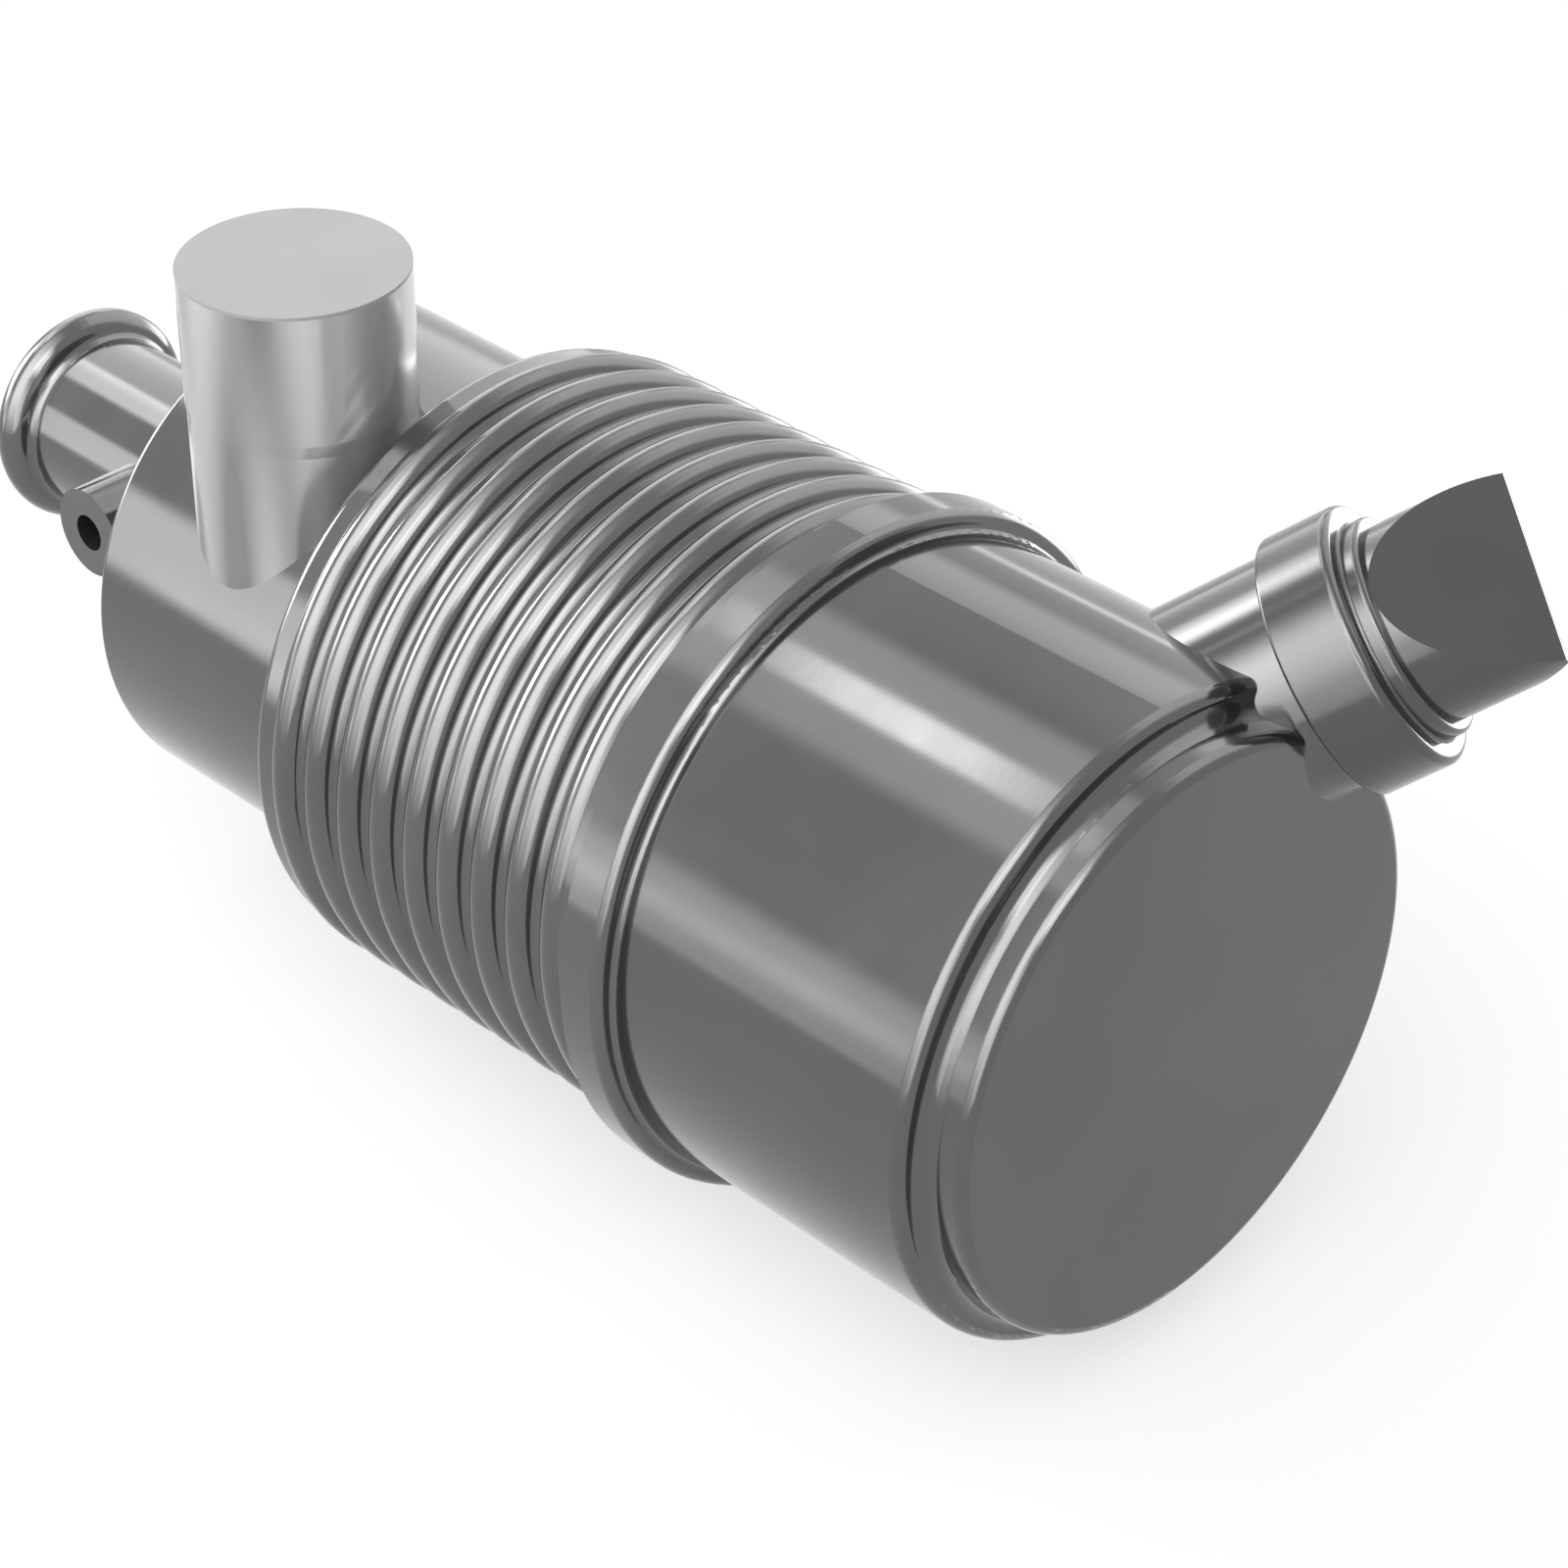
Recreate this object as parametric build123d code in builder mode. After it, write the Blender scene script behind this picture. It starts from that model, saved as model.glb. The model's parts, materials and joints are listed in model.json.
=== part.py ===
from build123d import *

import os
from math import acos, asin, cos, degrees, pi, radians, sin, sqrt, tan

os.makedirs("parts", exist_ok=True)

# Driving dimensions in millimetres and degrees
# X is the main axis, towards the cover, and +Z runs up the inlet tube
# The origin is on the main axis at the middle of the ribs

# Pressed sheet of the shells
sheet = 1.5
rim_fillet = 2.4

# Ribbed housing
crest_r = 73.6
rib_count = 9
rib_pitch = 10.6
rib_crest_arc = 3.6
rib_flank_angle = 70.0
band_drop = 1.3
rib_to_rear = 9.1
rib_to_collar = 9.2

# Rear head, the inlet chamber
head_r = 60.0
head_length = 70.5
head_fillet = 1.5

# Outlet tube with its hose bead
outlet_r = 21.5
outlet_wall = 2.0
outlet_length = 88.9
outlet_inside = 11.7
bead_rise = 5.3
bead_arc = 4.8
bead_root = 2.4

# Tapped boss on the outlet tube
boss_x = 52.6
boss_r = 11.0
boss_reach = 35.4
tap_r = 4.5

# Inlet tube, sized at its hose end, and its cap
inlet_r = 25.4
inlet_from_body = 30.5
inlet_offset = 28.6
inlet_top = 96.5
inlet_hose_length = 31.0
inlet_sizing = 0.3
inlet_taper = 3.0
cap_flange = 0.8
cap_plug_depth = 10.0
cap_plug_wall = 1.8
plug_clearance = 0.2

# Retaining ring over the two flanges and the seal
collar_rise = 4.8
collar_length = 10.8
collar_fillet = 2.3
collar_root = 1.3
collar_foot_length = 1.7
collar_foot_wall = 0.5
ring_clearance = 0.3
ring_gap = 3.0
ring_gap_angle = 270.0
seal_thickness = 3.0

# Cover, a little wider than the housing, with its stepped nose
cover_step = 0.4
cover_length = 99.4
nose_step = 6.7
nose_length = 10.2
nose_root = 3.8
nose_fillet = 2.5

# Dust neck and valve, whose axis starts on the main axis and leans towards the cover
neck_from_collar = 18.1
neck_roll = 49.0
neck_lean = 41.2
neck_r = 25.4
neck_show = 7.18
cuff_length = 16.2
cuff_wall = 2.7
cuff_floor = 3.0
cuff_fillet = 1.8
cuff_mouth_fillet = 0.8
bill_ring_length = 4.0
bill_ring_step = 2.5
bill_ring_fillet = 1.2
bill_ring_root = 0.6
bill_r = 21.0
bill_length = 26.4
bill_half_angle = 37.6
bill_wall = 2.2
bill_lip = 0.7
slit_gap = 0.4

# Element seat with its guard skirt, yoke and stud
seat_skirt_clearance = 1.3
seat_skirt_length = 45.0
seat_fillet = 3.0
yoke_width = 12.0
yoke_thickness = 3.0
yoke_clearance = 0.3
stud_r = 4.0
stud_clearance = 0.2
stud_past_nut = 2.0
stud_chamfer = 0.8

# Main element
main_depth = 15.5
main_length = 152.0
liner_wall = 0.8
cap_wall = 1.2
cap_rim = 8.0
main_gasket_thickness = 5.0
main_gasket_inset = 2.0
pleat_count = 44
pleat_radial_wall = 4.0
pleat_clearance = 0.2
slot_columns = 8
slot_rows = 6
slot_share = 0.6

# Safety element
safety_depth = 2.9
safety_clearance = 1.7
safety_shortening = 20.0
safety_gasket_thickness = 3.0
safety_rim = 6.0

# Nuts and washer
nut_across_flats = 13.0
nut_height = 6.5
washer_r = 12.0
washer_thickness = 2.5
wing_hub_r = 8.0
wing_hub_height = 12.0
wing_tip_r = 21.0
wing_height = 14.0
wing_thickness = 3.0
wing_fillet = 4.0
wing_root_r = 6.0
wing_raise = 2.0

# Dust baffle in the cover
baffle_r = 54.0
baffle_depth = 18.0
baffle_skirt = 40.0
baffle_pad_r = 24.0
baffle_fillet = 4.0

# Places along the main axis that follow from the sizes above
first_rib_x = -rib_pitch * (rib_count - 1) / 2
last_rib_x = -first_rib_x
body_rear_x = first_rib_x - rib_to_rear
collar_rear_x = last_rib_x + rib_to_collar
flange_x = collar_rear_x + sheet
seal_x = flange_x + sheet
cover_x = seal_x + seal_thickness
collar_front_x = collar_rear_x + collar_length
cover_front_x = collar_rear_x + cover_length
head_rear_x = body_rear_x - head_length
outlet_x = head_rear_x - outlet_length
seat_x = head_rear_x + outlet_inside
inlet_x = body_rear_x - inlet_from_body
neck_x = collar_rear_x + neck_from_collar

# Radii that follow
band_r = crest_r - band_drop
cover_r = band_r + cover_step
nose_r = cover_r - nose_step
collar_r = cover_r + collar_rise
flange_r = collar_r - sheet - ring_clearance
cuff_r = neck_r + cuff_wall
bill_ring_r = bill_r + bill_ring_step
safety_inner_r = outlet_r
safety_outer_r = safety_inner_r + safety_depth
safety_cap_r = safety_outer_r + cap_wall
cap_inner_r = safety_cap_r + safety_clearance
main_inner_r = cap_inner_r + cap_wall
main_outer_r = main_inner_r + main_depth
cap_outer_r = main_outer_r + cap_wall
seat_skirt_r = cap_outer_r + seat_skirt_clearance + sheet
crest_centre_r = crest_r - rib_crest_arc
arc_sum = rib_pitch / (2 * sin(radians(rib_flank_angle)))
rib_valley_arc = arc_sum - rib_crest_arc
valley_centre_r = crest_centre_r + arc_sum * cos(radians(rib_flank_angle))
bead_centre_r = outlet_r + bead_rise - bead_arc
bead_half = sqrt((bead_arc + bead_root) ** 2 - (outlet_r + bead_root - bead_centre_r) ** 2)

# Places along the neck's axis that follow
cuff_start = cover_r / cos(radians(neck_lean)) + neck_show
cuff_end = cuff_start + cuff_length
neck_end = cuff_end - cuff_floor
bill_ring_end = cuff_end + bill_ring_length
bill_tip = bill_ring_end + bill_length


def bent_line(corners, inset):
    """Draws a line through x, radius and bend corners, set in to its right."""
    points = [Vector(x, r) for x, r, bend in corners]
    ways = [(b - a).normalized() for a, b in zip(points, points[1:])]
    sides = [Vector(way.Y, -way.X) for way in ways]
    first = points[0] + sides[0] * inset
    last = points[-1] + sides[-1] * inset
    here = first
    for i in range(1, len(points) - 1):
        into, out = ways[i - 1], ways[i]
        side_in, side_out = sides[i - 1], sides[i]
        corner = points[i] + (side_in + side_out) * (inset / (1 + side_in.dot(side_out)))
        turn = into.X * out.Y - into.Y * out.X
        bend = corners[i][2] + inset if turn > 0 else corners[i][2] - inset
        cut = max(bend, 0) * tan(radians(into.get_angle(out)) / 2)
        Line(here, corner - into * cut)
        if cut > 0:
            TangentArc(corner - into * cut, corner + out * cut, tangent=into)
        here = corner + out * cut
    Line(here, last)
    return first, last


def sheet_section(corners, thickness):
    """Draws the closed outline of bent sheet whose outside runs through the corners."""
    outside = bent_line(corners, 0)
    inside = bent_line(corners, thickness)
    Line(outside[0], inside[0])
    Line(outside[1], inside[1])


def rib_line(inset):
    """Draws one side of the rolled ribs as arcs that touch, and returns its two ends."""
    crest_arc = rib_crest_arc - inset
    valley_arc = rib_valley_arc + inset
    end_angle = degrees(acos((band_r - inset - crest_centre_r) / crest_arc))
    arcs = []
    for k in range(rib_count):
        x = first_rib_x + k * rib_pitch
        rear = end_angle if k == 0 else rib_flank_angle
        front = end_angle if k == rib_count - 1 else rib_flank_angle
        arcs.append(CenterArc((x, crest_centre_r), crest_arc, 90 + rear, -rear - front))
        if k < rib_count - 1:
            centre = (x + rib_pitch / 2, valley_centre_r)
            CenterArc(centre, valley_arc, 270 - rib_flank_angle, 2 * rib_flank_angle)
    return arcs[0] @ 0, arcs[-1] @ 1


def ring(plane_x, outer_r, inner_r, length):
    """Adds a plain ring on the main axis that starts at plane_x."""
    with BuildSketch(Plane.YZ.offset(plane_x)) as end:
        Circle(outer_r)
        Circle(inner_r, mode=Mode.SUBTRACT)
    extrude(end.sketch, amount=length)


def save(builder, name):
    """Names the piece and writes it."""
    builder.part.label = name
    export_step(builder.part, "parts/" + name + ".step")


# Ribbed housing shell, one sheet with a rear wall, rolled ribs and a front flange
with BuildPart() as body_shell:
    with BuildSketch(Plane.XZ):
        with BuildLine():
            outer_ribs = rib_line(0)
            inner_ribs = rib_line(sheet)
            rear_ends = []
            front_ends = []
            for inset, ribs in ((0, outer_ribs), (sheet, inner_ribs)):
                rear_corners = [
                    (body_rear_x, head_r - sheet, 0),
                    (body_rear_x, band_r, rim_fillet),
                    (ribs[0].X, band_r, 0),
                ]
                front_corners = [
                    (ribs[1].X, band_r, 0),
                    (flange_x, band_r, 0),
                    (flange_x, flange_r, 0),
                ]
                rear_ends.append(bent_line(rear_corners, inset)[0])
                front_ends.append(bent_line(front_corners, inset)[1])
            Line(rear_ends[0], rear_ends[1])
            Line(front_ends[0], front_ends[1])
        make_face()
    revolve(axis=Axis.X)
save(body_shell, "body_shell")

# Rear head, a drawn cup with the outlet hole in its floor and the inlet hole in its side
head_corners = [
    (head_rear_x, outlet_r, 0),
    (head_rear_x, head_r, head_fillet),
    (body_rear_x, head_r, 0),
]
inlet_plane = Plane.XY.offset(inlet_top - cap_flange)
with BuildPart() as rear_head:
    with BuildSketch(Plane.XZ):
        with BuildLine():
            sheet_section(head_corners, sheet)
        make_face()
    revolve(axis=Axis.X)
    with BuildSketch(inlet_plane):
        with Locations((inlet_x, -inlet_offset)):
            Circle(inlet_r - inlet_sizing - sheet)
    extrude(amount=-inlet_plane.origin.Z, mode=Mode.SUBTRACT)
save(rear_head, "rear_head")

# Inlet tube, cut to sit on the side of the head, with a slightly wider hose end
inlet_axis = Axis((inlet_x, -inlet_offset, 0), (0, 0, 1))
hose_end_z = inlet_top - inlet_hose_length
inlet_corners = [
    (inlet_r, inlet_top - cap_flange, 0),
    (inlet_r, hose_end_z, 0),
    (inlet_r - inlet_sizing, hose_end_z - inlet_taper, 0),
    (inlet_r - inlet_sizing, 0, 0),
]
with BuildPart() as inlet_tube:
    with BuildSketch(Plane(origin=inlet_axis.position, x_dir=(1, 0, 0), z_dir=(0, -1, 0))):
        with BuildLine():
            sheet_section(inlet_corners, sheet)
        make_face()
    revolve(axis=inlet_axis)
    with BuildSketch(Plane.YZ.offset(head_rear_x)):
        Circle(head_r)
    extrude(amount=head_length, mode=Mode.SUBTRACT)
save(inlet_tube, "inlet_tube")

# Inlet cap, flush with the tube outside and plugged into it
with BuildPart() as inlet_cap:
    with BuildSketch(inlet_plane):
        with Locations((inlet_x, -inlet_offset)):
            Circle(inlet_r)
    extrude(amount=cap_flange)
    with BuildSketch(inlet_plane):
        with Locations((inlet_x, -inlet_offset)):
            Circle(inlet_r - sheet - plug_clearance)
            Circle(inlet_r - sheet - plug_clearance - cap_plug_wall, mode=Mode.SUBTRACT)
    extrude(amount=-cap_plug_depth)
save(inlet_cap, "inlet_cap")


def bead_line(inset):
    """Draws one side of the outlet tube, whose rolled bead has a small root on each side."""
    arc_r = bead_arc - inset
    root_r = bead_root + inset
    bead_x = outlet_x + bead_half
    spread = degrees(asin(bead_half / (bead_arc + bead_root)))
    root_centre_r = outlet_r + bead_root
    CenterArc((bead_x, bead_centre_r), arc_r, 90 + spread, -2 * spread)
    CenterArc((outlet_x, root_centre_r), root_r, 270, spread)
    CenterArc((bead_x + bead_half, root_centre_r), root_r, 270, -spread)
    Line((bead_x + bead_half, outlet_r - inset), (seat_x, outlet_r - inset))


# Outlet tube, from the hose end through the floor of the head to the element seat
boss_plane = Plane.XZ.offset(boss_reach)
with BuildPart() as outlet_tube:
    with BuildSketch(Plane.XZ):
        with BuildLine():
            bead_line(0)
            bead_line(outlet_wall)
            Line((outlet_x, outlet_r), (outlet_x, outlet_r - outlet_wall))
            Line((seat_x, outlet_r), (seat_x, outlet_r - outlet_wall))
        make_face()
    revolve(axis=Axis.X)
    with BuildSketch(boss_plane):
        with Locations((outlet_x + boss_x, 0)):
            Circle(tap_r)
    extrude(amount=-boss_reach, mode=Mode.SUBTRACT)
save(outlet_tube, "outlet_tube")

# Tapped boss, cut to sit on the outlet tube
with BuildPart() as tap_boss:
    with BuildSketch(boss_plane):
        with Locations((outlet_x + boss_x, 0)):
            Circle(boss_r)
            Circle(tap_r, mode=Mode.SUBTRACT)
    extrude(amount=-boss_reach)
    with BuildSketch(Plane.YZ.offset(outlet_x)):
        Circle(outlet_r)
    extrude(amount=outlet_length, mode=Mode.SUBTRACT)
save(tap_boss, "tap_boss")

# Seal between the flange of the housing and the flange of the cover
with BuildPart() as cover_seal:
    ring(seal_x, flange_r, cover_r, seal_thickness)
save(cover_seal, "cover_seal")

# Cover, a drawn cup with a flange and a stepped nose
cover_corners = [
    (cover_x + sheet, flange_r, 0),
    (cover_x + sheet, cover_r, 0),
    (cover_front_x - nose_length, cover_r, nose_fillet),
    (cover_front_x - nose_length, nose_r, nose_root),
    (cover_front_x, nose_r, nose_fillet),
    (cover_front_x, 0, 0),
]
lean = radians(neck_lean)
roll = radians(neck_roll)
neck_way = Vector(sin(lean), cos(lean) * cos(roll), cos(lean) * sin(roll))
slit_way = Vector(cos(lean), -sin(lean) * cos(roll), -sin(lean) * sin(roll))
neck_plane = Plane(origin=(neck_x, 0, 0), x_dir=slit_way, z_dir=neck_way)
with BuildPart() as cover:
    with BuildSketch(Plane.XZ):
        with BuildLine():
            sheet_section(cover_corners, sheet)
        make_face()
    revolve(axis=Axis.X)
    with BuildSketch(neck_plane):
        Circle(neck_r - sheet)
    extrude(amount=neck_end, mode=Mode.SUBTRACT)
save(cover, "cover")

# The cover's outside as a solid, which trims the dust neck
with BuildPart() as cover_outside:
    with BuildSketch(Plane.XZ):
        with BuildLine():
            edge = bent_line(cover_corners, 0)
            Line(edge[1], (cover_x, 0))
            Line((cover_x, 0), (cover_x, flange_r))
            Line((cover_x, flange_r), edge[0])
        make_face()
    revolve(axis=Axis.X)

# Dust neck, cut to sit on the corner of the cover
with BuildPart() as dust_neck:
    with BuildSketch(neck_plane.offset(neck_r)):
        Circle(neck_r)
        Circle(neck_r - sheet, mode=Mode.SUBTRACT)
    extrude(amount=neck_end - neck_r)
    add(cover_outside.part, mode=Mode.SUBTRACT)
save(dust_neck, "dust_neck")

wedge_plane = Plane(origin=(neck_x, 0, 0), x_dir=neck_way.cross(slit_way), z_dir=slit_way)
bill_slope = tan(radians(bill_half_angle))
outer_apex = bill_tip + bill_lip / bill_slope
inner_apex = outer_apex - bill_wall / sin(radians(bill_half_angle))


def bill_wedge(radius, apex, base, tip):
    """Adds a round bar whose end is cut to a wedge by two sloping planes."""
    with BuildSketch(neck_plane.offset(base)) as end:
        Circle(radius)
    extrude(end.sketch, amount=tip - base)
    with BuildSketch(wedge_plane) as wedge:
        wide = (apex - base) * bill_slope
        narrow = (apex - tip) * bill_slope
        Polygon((-wide, base), (wide, base), (narrow, tip), (-narrow, tip), align=None)
    extrude(wedge.sketch, amount=radius, both=True, mode=Mode.INTERSECT)


# Space inside the duckbill, and the slit between its lips
slit_depth = slit_gap / 2 / bill_slope
with BuildPart() as bill_space:
    bill_wedge(bill_r - bill_wall, inner_apex, neck_end, inner_apex - slit_depth)
    with BuildSketch(wedge_plane):
        with Locations((0, (inner_apex + bill_tip) / 2)):
            Rectangle(slit_gap, bill_tip - inner_apex + 2 * slit_depth)
    extrude(amount=bill_r - bill_wall, both=True)

# Dust valve, a rubber cuff over the neck, a stiffening ring and two sloping lips
with BuildPart() as dust_valve:
    bill_wedge(bill_r, outer_apex, neck_end, bill_tip)
    with BuildSketch(wedge_plane):
        with BuildLine():
            cuff_corners = [
                (0, bill_ring_end, 0),
                (bill_ring_r, bill_ring_end, bill_ring_fillet),
                (bill_ring_r, cuff_end, bill_ring_root),
                (cuff_r, cuff_end, cuff_fillet),
                (cuff_r, cuff_start, cuff_mouth_fillet),
                (neck_r, cuff_start, 0),
            ]
            bent_line(cuff_corners, 0)
            Line((neck_r, cuff_start), (neck_r, neck_end))
            Line((neck_r, neck_end), (0, neck_end))
            Line((0, neck_end), (0, bill_ring_end))
        make_face()
    revolve(axis=Axis((neck_x, 0, 0), neck_way))
    add(bill_space.part, mode=Mode.SUBTRACT)
save(dust_valve, "dust_valve")

# Retaining ring, a split channel over both flanges
lip_r = band_r + ring_clearance
foot_r = cover_r
channel_r = collar_r - sheet
with BuildPart() as retaining_ring:
    with BuildSketch(Plane.XZ):
        with BuildLine():
            ring_corners = [
                (collar_rear_x, lip_r, 0),
                (collar_rear_x, collar_r, 0),
                (collar_front_x, collar_r, collar_fillet),
                (collar_front_x, foot_r + collar_foot_wall, collar_root),
                (collar_front_x + collar_foot_length, foot_r + collar_foot_wall, 0),
                (collar_front_x + collar_foot_length, foot_r, 0),
            ]
            ring_ends = bent_line(ring_corners, 0)
            Polyline(
                ring_ends[1],
                (cover_x + sheet, foot_r),
                (cover_x + sheet, channel_r),
                (flange_x, channel_r),
                (flange_x, lip_r),
                ring_ends[0],
            )
        make_face()
    revolve(axis=Axis.X)
    with BuildSketch(Plane.YZ.offset(collar_rear_x)):
        with PolarLocations(collar_r, 1, start_angle=ring_gap_angle):
            Rectangle(2 * (collar_r - band_r), ring_gap)
    extrude(amount=collar_length + collar_foot_length, mode=Mode.SUBTRACT)
save(retaining_ring, "retaining_ring")

# Dust baffle, a dished plate with a skirt, spot welded to the floor of the cover
baffle_face_x = cover_front_x - sheet
baffle_corners = [
    (baffle_face_x - baffle_depth - baffle_skirt, baffle_r, 0),
    (baffle_face_x - baffle_depth, baffle_r, baffle_fillet),
    (baffle_face_x - baffle_depth, baffle_pad_r + baffle_depth / 2, baffle_fillet),
    (baffle_face_x, baffle_pad_r, baffle_fillet),
    (baffle_face_x, 0, 0),
]
with BuildPart() as dust_baffle:
    with BuildSketch(Plane.XZ):
        with BuildLine():
            sheet_section(baffle_corners, sheet)
        make_face()
    revolve(axis=Axis.X)
save(dust_baffle, "dust_baffle")

# Element seat, a dish with a guard skirt, welded round the end of the outlet tube
seat_corners = [
    (seat_x - sheet, outlet_r, 0),
    (seat_x - sheet, seat_skirt_r, seat_fillet),
    (seat_x + seat_skirt_length, seat_skirt_r, 0),
]
with BuildPart() as element_seat:
    with BuildSketch(Plane.XZ):
        with BuildLine():
            sheet_section(seat_corners, sheet)
        make_face()
    revolve(axis=Axis.X)
save(element_seat, "element_seat")

# Yoke, a strap welded across the inner end of the outlet tube, which holds the stud
with BuildPart() as stud_yoke:
    with BuildSketch(Plane.YZ.offset(seat_x)):
        Circle(outlet_r - yoke_clearance)
        Rectangle(yoke_width, 2 * outlet_r, mode=Mode.INTERSECT)
        Circle(stud_r, mode=Mode.SUBTRACT)
    extrude(amount=yoke_thickness)
save(stud_yoke, "stud_yoke")

# Places of the main element and its nut
main_cap_x = seat_x + main_gasket_thickness
main_front_x = main_cap_x + main_length
wing_nut_x = main_front_x + washer_thickness
stud_end_x = wing_nut_x + wing_hub_height + stud_past_nut
stud_hole_r = stud_r + stud_clearance

# Centre stud
with BuildPart() as centre_stud:
    with BuildSketch(Plane.YZ.offset(seat_x)):
        Circle(stud_r)
    extrude(amount=stud_end_x - seat_x)
    chamfer(centre_stud.edges().sort_by(Axis.X)[-1], stud_chamfer)
save(centre_stud, "centre_stud")

# Gasket of the main element
with BuildPart() as main_gasket:
    outer_edge = main_outer_r - main_gasket_inset
    inner_edge = main_inner_r + main_gasket_inset
    ring(seat_x, outer_edge, inner_edge, main_gasket_thickness)
save(main_gasket, "main_gasket")

# End caps of the main element, each a plate with rims that hold the liners
liner_x = main_cap_x + cap_wall
liner_length = main_length - 2 * cap_wall
with BuildPart() as main_rear_cap:
    ring(main_cap_x, cap_outer_r, cap_inner_r, cap_wall)
    ring(liner_x, cap_outer_r, main_outer_r, cap_rim)
    ring(liner_x, main_inner_r, cap_inner_r, cap_rim)
save(main_rear_cap, "main_rear_cap")

with BuildPart() as main_front_cap:
    ring(main_front_x - cap_wall, cap_outer_r, stud_hole_r, cap_wall)
    ring(main_front_x - cap_wall - cap_rim, cap_outer_r, main_outer_r, cap_rim)
    ring(main_front_x - cap_wall - cap_rim, main_inner_r, cap_inner_r, cap_rim)
save(main_front_cap, "main_front_cap")


def slotted_liner(outer_r, inner_r):
    """Adds a steel liner between the end caps with rows of windows."""
    ring(liner_x, outer_r, inner_r, liner_length)
    row_pitch = (liner_length - 2 * cap_rim) / slot_rows
    slot_width = slot_share * 2 * pi * inner_r / slot_columns
    for row in range(slot_rows):
        slot_x = liner_x + cap_rim + (row + (1 - slot_share) / 2) * row_pitch
        with BuildSketch(Plane.YZ.offset(slot_x)) as slots:
            with PolarLocations(outer_r, slot_columns):
                Rectangle(outer_r, slot_width)
        extrude(slots.sketch, amount=slot_share * row_pitch, mode=Mode.SUBTRACT)


# Slotted liners inside and outside the pleats
with BuildPart() as main_outer_liner:
    slotted_liner(main_outer_r, main_outer_r - liner_wall)
save(main_outer_liner, "main_outer_liner")

with BuildPart() as main_inner_liner:
    slotted_liner(main_inner_r + liner_wall, main_inner_r)
save(main_inner_liner, "main_inner_liner")


def star(crest, valley):
    """Returns the points of a star with one crest and one valley to each pleat."""
    points = []
    for i in range(2 * pleat_count):
        angle = pi * i / pleat_count
        radius = crest if i % 2 == 0 else valley
        points.append((radius * cos(angle), radius * sin(angle)))
    return points


# Pleated paper of the main element
pleat_outer_r = main_outer_r - liner_wall - pleat_clearance
pleat_inner_r = main_inner_r + liner_wall + pleat_clearance
with BuildPart() as main_pleats:
    with BuildSketch(Plane.YZ.offset(liner_x)):
        Polygon(*star(pleat_outer_r, pleat_inner_r + pleat_radial_wall), align=None)
        inner_star = star(pleat_outer_r - pleat_radial_wall, pleat_inner_r)
        Polygon(*inner_star, align=None, mode=Mode.SUBTRACT)
    extrude(amount=liner_length)
save(main_pleats, "main_pleats")

# Washer and wing nut that hold the main element
with BuildPart() as main_washer:
    ring(main_front_x, washer_r, stud_hole_r, washer_thickness)
save(main_washer, "main_washer")

with BuildPart() as main_wing_nut:
    with BuildSketch(Plane.YZ.offset(wing_nut_x)):
        Circle(wing_hub_r)
    extrude(amount=wing_hub_height)
    with BuildSketch(Plane.XZ):
        with Locations((wing_nut_x + wing_raise + wing_height / 2, 0)):
            with GridLocations(0, wing_tip_r + wing_root_r, 1, 2):
                RectangleRounded(wing_height, wing_tip_r - wing_root_r, wing_fillet)
    extrude(amount=wing_thickness / 2, both=True)
    with BuildSketch(Plane.YZ.offset(wing_nut_x)):
        Circle(stud_r)
    extrude(amount=wing_hub_height, mode=Mode.SUBTRACT)
save(main_wing_nut, "main_wing_nut")

# Safety element inside the main element
safety_cap_x = seat_x + safety_gasket_thickness
safety_length = main_length - safety_shortening
safety_front_x = safety_cap_x + safety_length
with BuildPart() as safety_gasket:
    ring(seat_x, safety_outer_r, safety_inner_r, safety_gasket_thickness)
save(safety_gasket, "safety_gasket")

with BuildPart() as safety_rear_cap:
    ring(safety_cap_x, safety_cap_r, safety_inner_r, cap_wall)
    ring(safety_cap_x + cap_wall, safety_cap_r, safety_outer_r, safety_rim)
save(safety_rear_cap, "safety_rear_cap")

with BuildPart() as safety_front_cap:
    ring(safety_front_x - cap_wall, safety_cap_r, stud_hole_r, cap_wall)
    ring(safety_front_x - cap_wall - safety_rim, safety_cap_r, safety_outer_r, safety_rim)
save(safety_front_cap, "safety_front_cap")

with BuildPart() as safety_media:
    ring(safety_cap_x + cap_wall, safety_outer_r, safety_inner_r, safety_length - 2 * cap_wall)
save(safety_media, "safety_media")

# Nut that holds the safety element
with BuildPart() as safety_nut:
    with BuildSketch(Plane.YZ.offset(safety_front_x)):
        RegularPolygon(nut_across_flats / 2, 6, major_radius=False)
        Circle(stud_r, mode=Mode.SUBTRACT)
    extrude(amount=nut_height)
save(safety_nut, "safety_nut")
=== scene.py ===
import json
from math import cos, radians, sin

import bpy
from mathutils import Matrix, Vector


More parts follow.
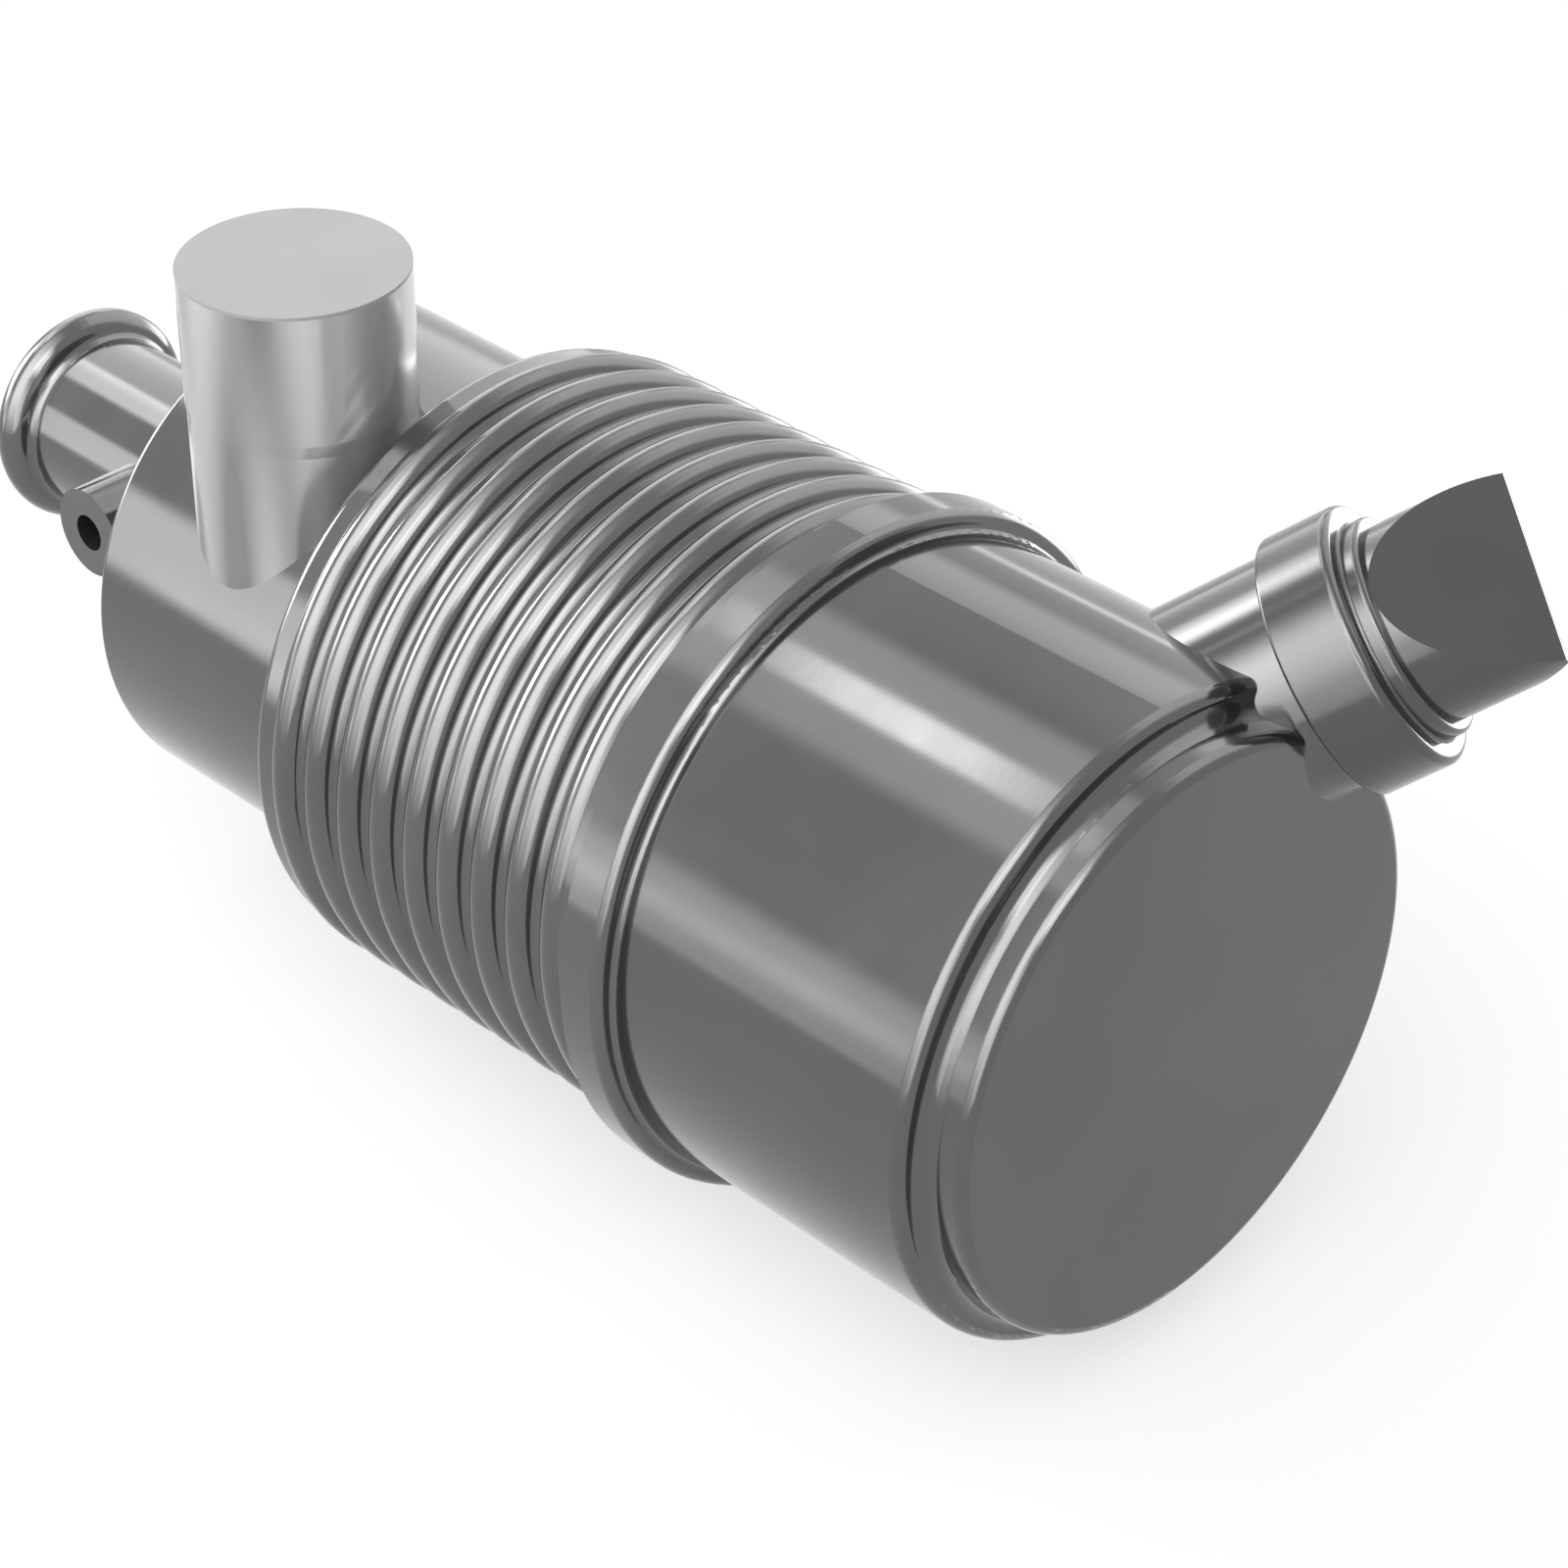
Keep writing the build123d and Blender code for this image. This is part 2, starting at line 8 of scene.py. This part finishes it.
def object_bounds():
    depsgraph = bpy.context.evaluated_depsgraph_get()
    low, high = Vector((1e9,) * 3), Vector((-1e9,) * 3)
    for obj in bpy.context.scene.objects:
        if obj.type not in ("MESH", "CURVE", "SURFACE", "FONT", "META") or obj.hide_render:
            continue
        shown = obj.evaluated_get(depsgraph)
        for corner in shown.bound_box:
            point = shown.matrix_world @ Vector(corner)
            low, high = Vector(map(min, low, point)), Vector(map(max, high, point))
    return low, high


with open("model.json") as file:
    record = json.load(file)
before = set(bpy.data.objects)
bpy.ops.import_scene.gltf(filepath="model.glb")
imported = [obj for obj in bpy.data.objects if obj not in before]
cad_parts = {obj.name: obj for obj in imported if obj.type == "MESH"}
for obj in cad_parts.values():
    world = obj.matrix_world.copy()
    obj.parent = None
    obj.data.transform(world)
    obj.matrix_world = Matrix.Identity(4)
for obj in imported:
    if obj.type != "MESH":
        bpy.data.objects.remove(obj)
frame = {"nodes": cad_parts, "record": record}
cad_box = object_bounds()

# Camera: its place and clipping in metres, its lens and sensor in millimetres
CAMERA_PLACE = Vector((0.572208, -0.532079, 0.519843))
CAMERA_AZIMUTH = radians(45.1593)
CAMERA_ELEVATION = radians(34.234)
CAMERA_ROLL = radians(0.0711)
CAMERA_LENS = 98.985
CAMERA_SENSOR = 36.0
CAMERA_CLIP = (0.01, 100.0)

# Floor: its size in metres, its colour, and the glow that the camera and reflections see
FLOOR_HALF_SIDE = 0.42
FLOOR_TONE = (0.6, 0.6, 0.6, 1.0)
FLOOR_GLOW = 0.6

# Light: the surround is white and at full strength to the camera and in reflections, and at
# the fill's share of it where it lights the part
WHITE = (1.0, 1.0, 1.0, 1.0)
WORLD_FILL = 0.25

# Soft boxes in the surround, in degrees. The first angle is measured from the rear of the
# main axis, and the second is the turn round that axis from the top toward -Y. Each box has
# its middle, its half size and its soft edge in both, and its brightness over the surround.
SOFT_BOXES = [
    # middle, half size, edge, brightness
    ((14.0, 44.0), (23.0, 40.0), (5.0, 24.0), 12.0),
    ((36.0, -45.0), (12.0, 42.0), (8.0, 8.0), 2.0),
    ((45.0, 4.0), (4.0, 16.0), (4.0, 4.0), 4.0),
    ((45.0, 84.0), (4.0, 18.0), (4.0, 4.0), 3.0),
    ((90.0, 50.0), (24.0, 36.0), (12.0, 26.0), 5.4),
    ((126.0, 26.0), (18.0, 14.0), (8.0, 8.0), 5.5),
    ((126.0, 78.0), (14.0, 26.0), (8.0, 18.0), 3.3),
    ((86.0, -98.0), (18.0, 10.0), (8.0, 8.0), 5.5),
    ((90.0, -58.0), (28.0, 30.0), (10.0, 10.0), 1.4),
    ((50.0, 10.0), (1.5, 100.0), (1.5, 1.5), 1.0),
    ((56.0, -60.0), (5.0, 8.0), (4.0, 4.0), 1.2),
    ((56.0, -87.0), (5.0, 1.5), (1.5, 1.5), 2.0),
    ((56.0, 2.0), (4.0, 22.0), (4.0, 4.0), 1.4),
    ((55.2, 2.0), (1.1, 6.0), (1.6, 1.6), 9.0),
    ((55.0, 88.0), (5.0, 8.0), (5.0, 5.0), 1.6),
    ((54.0, 104.0), (6.0, 14.0), (5.0, 5.0), 1.1),
]

# Noises that vary the colour and the gloss, as scale and detail, and the part of a noise's
# range that is spread over a pair of values
TONE_NOISE = (25.0, 3.0)
GLOSS_NOISE = (60.0, 4.0)
PEEL_DETAIL = 2.0
NOISE_RANGE = (0.3, 0.7)
IOR = 1.5

# Finishes by material slot: two greys or colours, the roughness, how metallic it is, and the
# scale and the height in metres of the fine peel on its surface
GLOSSY_METAL = dict(rough=(0.09, 0.13), metallic=0.75, peel=(500.0, 0.000003))
FINISHES = {
    "housing_metal": dict(GLOSSY_METAL, tones=(0.13, 0.146)),
    "cover_metal": dict(GLOSSY_METAL, tones=(0.115, 0.128)),
    "ring_metal": dict(GLOSSY_METAL, tones=(0.132, 0.148)),
    "valve_rubber": dict(
        tones=(0.095, 0.105), rough=(0.12, 0.16), metallic=0.7, peel=(900.0, 0.000003)
    ),
    "cap_plastic": dict(
        tones=(0.52, 0.55), rough=(0.4, 0.5), metallic=0.0, peel=(1500.0, 0.00002)
    ),
    "seal_rubber": dict(
        tones=(0.02, 0.03), rough=(0.5, 0.6), metallic=0.0, peel=(1500.0, 0.00002)
    ),
    "inner_steel": dict(
        tones=(0.45, 0.5), rough=(0.3, 0.4), metallic=1.0, peel=(500.0, 0.00001)
    ),
    "fastener_steel": dict(
        tones=((0.55, 0.54, 0.5), (0.6, 0.59, 0.55)),
        rough=(0.25, 0.35),
        metallic=1.0,
        peel=(500.0, 0.00001),
    ),
    "element_steel": dict(
        tones=(0.5, 0.6), rough=(0.3, 0.45), metallic=1.0, peel=(300.0, 0.00001)
    ),
    "filter_paper": dict(
        tones=((0.7, 0.6, 0.38), (0.78, 0.68, 0.45)),
        rough=(0.8, 0.9),
        metallic=0.0,
        peel=(2000.0, 0.00005),
    ),
    "filter_felt": dict(
        tones=((0.78, 0.77, 0.73), (0.85, 0.84, 0.8)),
        rough=(0.9, 1.0),
        metallic=0.0,
        peel=(2500.0, 0.0001),
    ),
}

# Finish of the inlet tube: painted highlight streaks in its colour, standing in for reflections of
# the soft boxes, and fine bump marks, both stretched along Z
TUBE_SLOT = "inlet_metal"
# Dark and light greys of the painted highlight streaks in the tube's colour
TUBE_PAINTED_STREAK_TONES = (0.28, 0.8)
TUBE_ROUGH = (0.16, 0.22)
TUBE_METALLIC = 0.45
# Scale and detail of the noise that paints the highlight streaks
TUBE_PAINTED_STREAKS = (95.0, 0.0)
TUBE_MARKS = (900.0, 2.0)
TUBE_MARK_HEIGHT = 0.0000015
# Shift that chooses where the painted highlight streaks and the marks fall on the tube
TUBE_SHIFT = (0.02, 0.05, 0.0)
TUBE_STRETCH = (1.0, 1.0, 0.06)


def place_camera():
    """Turns the camera by azimuth, elevation and roll, and makes it the scene's own."""
    azimuth, elevation = CAMERA_AZIMUTH, CAMERA_ELEVATION
    back = Vector((sin(azimuth) * cos(elevation), -cos(azimuth) * cos(elevation), sin(elevation)))
    right = (-back).cross(Vector((0, 0, 1))).normalized()
    down = (-back).cross(right)
    turned_right = right * cos(CAMERA_ROLL) - down * sin(CAMERA_ROLL)
    turned_down = right * sin(CAMERA_ROLL) + down * cos(CAMERA_ROLL)
    data = bpy.data.cameras.new("camera")
    data.lens = CAMERA_LENS
    data.sensor_width = CAMERA_SENSOR
    data.clip_start, data.clip_end = CAMERA_CLIP
    camera = bpy.data.objects.new("camera", data)
    bpy.context.scene.collection.objects.link(camera)
    turn = Matrix((turned_right, -turned_down, back)).transposed().to_4x4()
    camera.matrix_world = Matrix.Translation(CAMERA_PLACE) @ turn
    bpy.context.scene.camera = camera


def new_material(name):
    """Makes a node material with one Principled shader, and returns it, its tree and the shader."""
    material = bpy.data.materials.new(name)
    material.use_nodes = True
    tree = material.node_tree
    tree.nodes.clear()
    shader = tree.nodes.new("ShaderNodeBsdfPrincipled")
    output = tree.nodes.new("ShaderNodeOutputMaterial")
    tree.links.new(shader.outputs["BSDF"], output.inputs["Surface"])
    return material, tree, shader


def object_place(tree):
    """Returns the Object coordinates."""
    return tree.nodes.new("ShaderNodeTexCoord").outputs["Object"]


def noise(tree, place, scale, detail):
    """Adds noise at the coordinates and returns its factor."""
    made = tree.nodes.new("ShaderNodeTexNoise")
    made.inputs["Scale"].default_value = scale
    made.inputs["Detail"].default_value = detail
    tree.links.new(place, made.inputs["Vector"])
    return made.outputs["Fac"]


def spread(tree, factor, low, high):
    """Maps the middle of a noise's range to low and high."""
    made = tree.nodes.new("ShaderNodeMapRange")
    made.inputs["From Min"].default_value, made.inputs["From Max"].default_value = NOISE_RANGE
    made.inputs["To Min"].default_value = low
    made.inputs["To Max"].default_value = high
    tree.links.new(factor, made.inputs["Value"])
    return made.outputs["Result"]


def colour(tone):
    """Returns a grey level or an RGB colour as RGBA."""
    return (*tone, 1.0) if isinstance(tone, tuple) else (tone, tone, tone, 1.0)


def mix(tree, factor, tones):
    """Mixes two tones by a factor."""
    made = tree.nodes.new("ShaderNodeMix")
    made.data_type = "RGBA"
    made.inputs["A"].default_value, made.inputs["B"].default_value = map(colour, tones)
    tree.links.new(factor, made.inputs["Factor"])
    return made.outputs["Result"]


def link_surface(tree, shader, tones, rough, metallic, tone, gloss, marks, mark_height):
    """Varies the shader's colour, roughness and bump with the noises tone, gloss and marks."""
    shader.inputs["Metallic"].default_value = metallic
    shader.inputs["IOR"].default_value = IOR
    tree.links.new(mix(tree, spread(tree, tone, 0.0, 1.0), tones), shader.inputs["Base Color"])
    tree.links.new(spread(tree, gloss, *rough), shader.inputs["Roughness"])
    bump = tree.nodes.new("ShaderNodeBump")
    bump.inputs["Strength"].default_value = 1.0
    bump.inputs["Distance"].default_value = mark_height
    tree.links.new(marks, bump.inputs["Height"])
    tree.links.new(bump.outputs["Normal"], shader.inputs["Normal"])


def finish(name, tones, rough, metallic, peel):
    """A finish with a slightly uneven colour and gloss and a fine peel on its surface."""
    material, tree, shader = new_material(name)
    place = object_place(tree)
    tone = noise(tree, place, *TONE_NOISE)
    gloss = noise(tree, place, *GLOSS_NOISE)
    peel_scale, peel_height = peel
    marks = noise(tree, place, peel_scale, PEEL_DETAIL)
    link_surface(tree, shader, tones, rough, metallic, tone, gloss, marks, peel_height)
    return material


def tube_finish_with_painted_streaks():
    """Satin metal whose colour carries painted highlight streaks along Z, standing in for
    reflections, with fine bump marks along Z as well.
    """
    material, tree, shader = new_material(TUBE_SLOT)
    stretched_place = tree.nodes.new("ShaderNodeMapping")
    stretched_place.inputs["Location"].default_value = TUBE_SHIFT
    stretched_place.inputs["Scale"].default_value = TUBE_STRETCH
    tree.links.new(object_place(tree), stretched_place.inputs["Vector"])
    # Painted highlight: this noise spreads the colour between a dark and a light grey in bands
    # along Z, standing in for reflections
    painted_streaks = noise(tree, stretched_place.outputs["Vector"], *TUBE_PAINTED_STREAKS)
    marks = noise(tree, stretched_place.outputs["Vector"], *TUBE_MARKS)
    look = (TUBE_PAINTED_STREAK_TONES, TUBE_ROUGH, TUBE_METALLIC)
    link_surface(tree, shader, *look, painted_streaks, marks, marks, TUBE_MARK_HEIGHT)
    return material


def dress_nodes():
    """Gives each piece the finish of its slot in the record."""
    made = {slot: finish(slot, **values) for slot, values in FINISHES.items()}
    made[TUBE_SLOT] = tube_finish_with_painted_streaks()
    for row in frame["record"]["subparts"]:
        piece = frame["nodes"][row["node"]]
        piece.data.materials.clear()
        piece.data.materials.append(made[row["material_slot"]])


def math_node(tree, operation, *values):
    """Adds a math node whose inputs are numbers or other nodes' outputs, and returns its output."""
    made = tree.nodes.new("ShaderNodeMath")
    made.operation = operation
    for socket, value in zip(made.inputs, values):
        if isinstance(value, (int, float)):
            socket.default_value = value
        else:
            tree.links.new(value, socket)
    return made.outputs[0]


def seen_directly(tree):
    """One for a ray from the camera, a reflection or a clear piece, and zero for soft light."""
    path = tree.nodes.new("ShaderNodeLightPath")
    seen = math_node(tree, "MAXIMUM", path.outputs["Is Camera Ray"], path.outputs["Is Glossy Ray"])
    return math_node(tree, "MAXIMUM", seen, path.outputs["Is Transmission Ray"])


def lay_floor():
    """A flat floor at the lowest point of the part."""
    low = cad_box[0].z
    side = FLOOR_HALF_SIDE
    mesh = bpy.data.meshes.new("floor")
    corners = [(-side, -side, low), (side, -side, low), (side, side, low), (-side, side, low)]
    mesh.from_pydata(corners, [], [(0, 1, 2, 3)])
    floor = bpy.data.objects.new("floor", mesh)
    bpy.context.scene.collection.objects.link(floor)
    material, tree, shader = new_material("floor")
    shader.inputs["Base Color"].default_value = FLOOR_TONE
    shader.inputs["Roughness"].default_value = 1.0
    shader.inputs["Specular IOR Level"].default_value = 0.0
    shader.inputs["Emission Color"].default_value = WHITE
    glow = math_node(tree, "MULTIPLY", seen_directly(tree), FLOOR_GLOW)
    tree.links.new(glow, shader.inputs["Emission Strength"])
    mesh.materials.append(material)


def soft_edge(tree, angle, middle, half, edge):
    """One within half of the middle angle, falling smoothly to zero over the edge."""
    away = math_node(tree, "ABSOLUTE", math_node(tree, "SUBTRACT", angle, radians(middle)))
    made = tree.nodes.new("ShaderNodeMapRange")
    made.interpolation_type = "SMOOTHSTEP"
    made.inputs["From Min"].default_value = radians(half + edge)
    made.inputs["From Max"].default_value = radians(half - edge)
    tree.links.new(away, made.inputs["Value"])
    return made.outputs["Result"]


def light_world():
    """A white surround with soft boxes, at full strength to the camera and in reflections."""
    world = bpy.data.worlds.new("studio")
    world.use_nodes = True
    bpy.context.scene.world = world
    tree = world.node_tree
    tree.nodes.clear()
    place = tree.nodes.new("ShaderNodeTexCoord")
    parts = tree.nodes.new("ShaderNodeSeparateXYZ")
    tree.links.new(place.outputs["Generated"], parts.inputs[0])
    rearward = math_node(tree, "MULTIPLY", parts.outputs["X"], -1.0)
    from_rear = math_node(tree, "ARCCOSINE", rearward)
    sideward = math_node(tree, "MULTIPLY", parts.outputs["Y"], -1.0)
    from_top = math_node(tree, "ARCTAN2", sideward, parts.outputs["Z"])
    total = 1.0
    for (rear, top), (rear_half, top_half), (rear_edge, top_edge), brightness in SOFT_BOXES:
        across = soft_edge(tree, from_rear, rear, rear_half, rear_edge)
        along = soft_edge(tree, from_top, top, top_half, top_edge)
        shape = math_node(tree, "MULTIPLY", across, along)
        lamp = math_node(tree, "MULTIPLY", shape, brightness)
        total = math_node(tree, "ADD", lamp, total)
    level = tree.nodes.new("ShaderNodeMapRange")
    level.inputs["To Min"].default_value = WORLD_FILL
    level.inputs["To Max"].default_value = 1.0
    tree.links.new(seen_directly(tree), level.inputs["Value"])
    sky = tree.nodes.new("ShaderNodeBackground")
    sky.inputs["Color"].default_value = WHITE
    strength = math_node(tree, "MULTIPLY", total, level.outputs["Result"])
    tree.links.new(strength, sky.inputs["Strength"])
    output = tree.nodes.new("ShaderNodeOutputWorld")
    tree.links.new(sky.outputs["Background"], output.inputs["Surface"])


place_camera()
dress_nodes()
lay_floor()
light_world()

bpy.context.scene.view_settings.view_transform = "Standard"
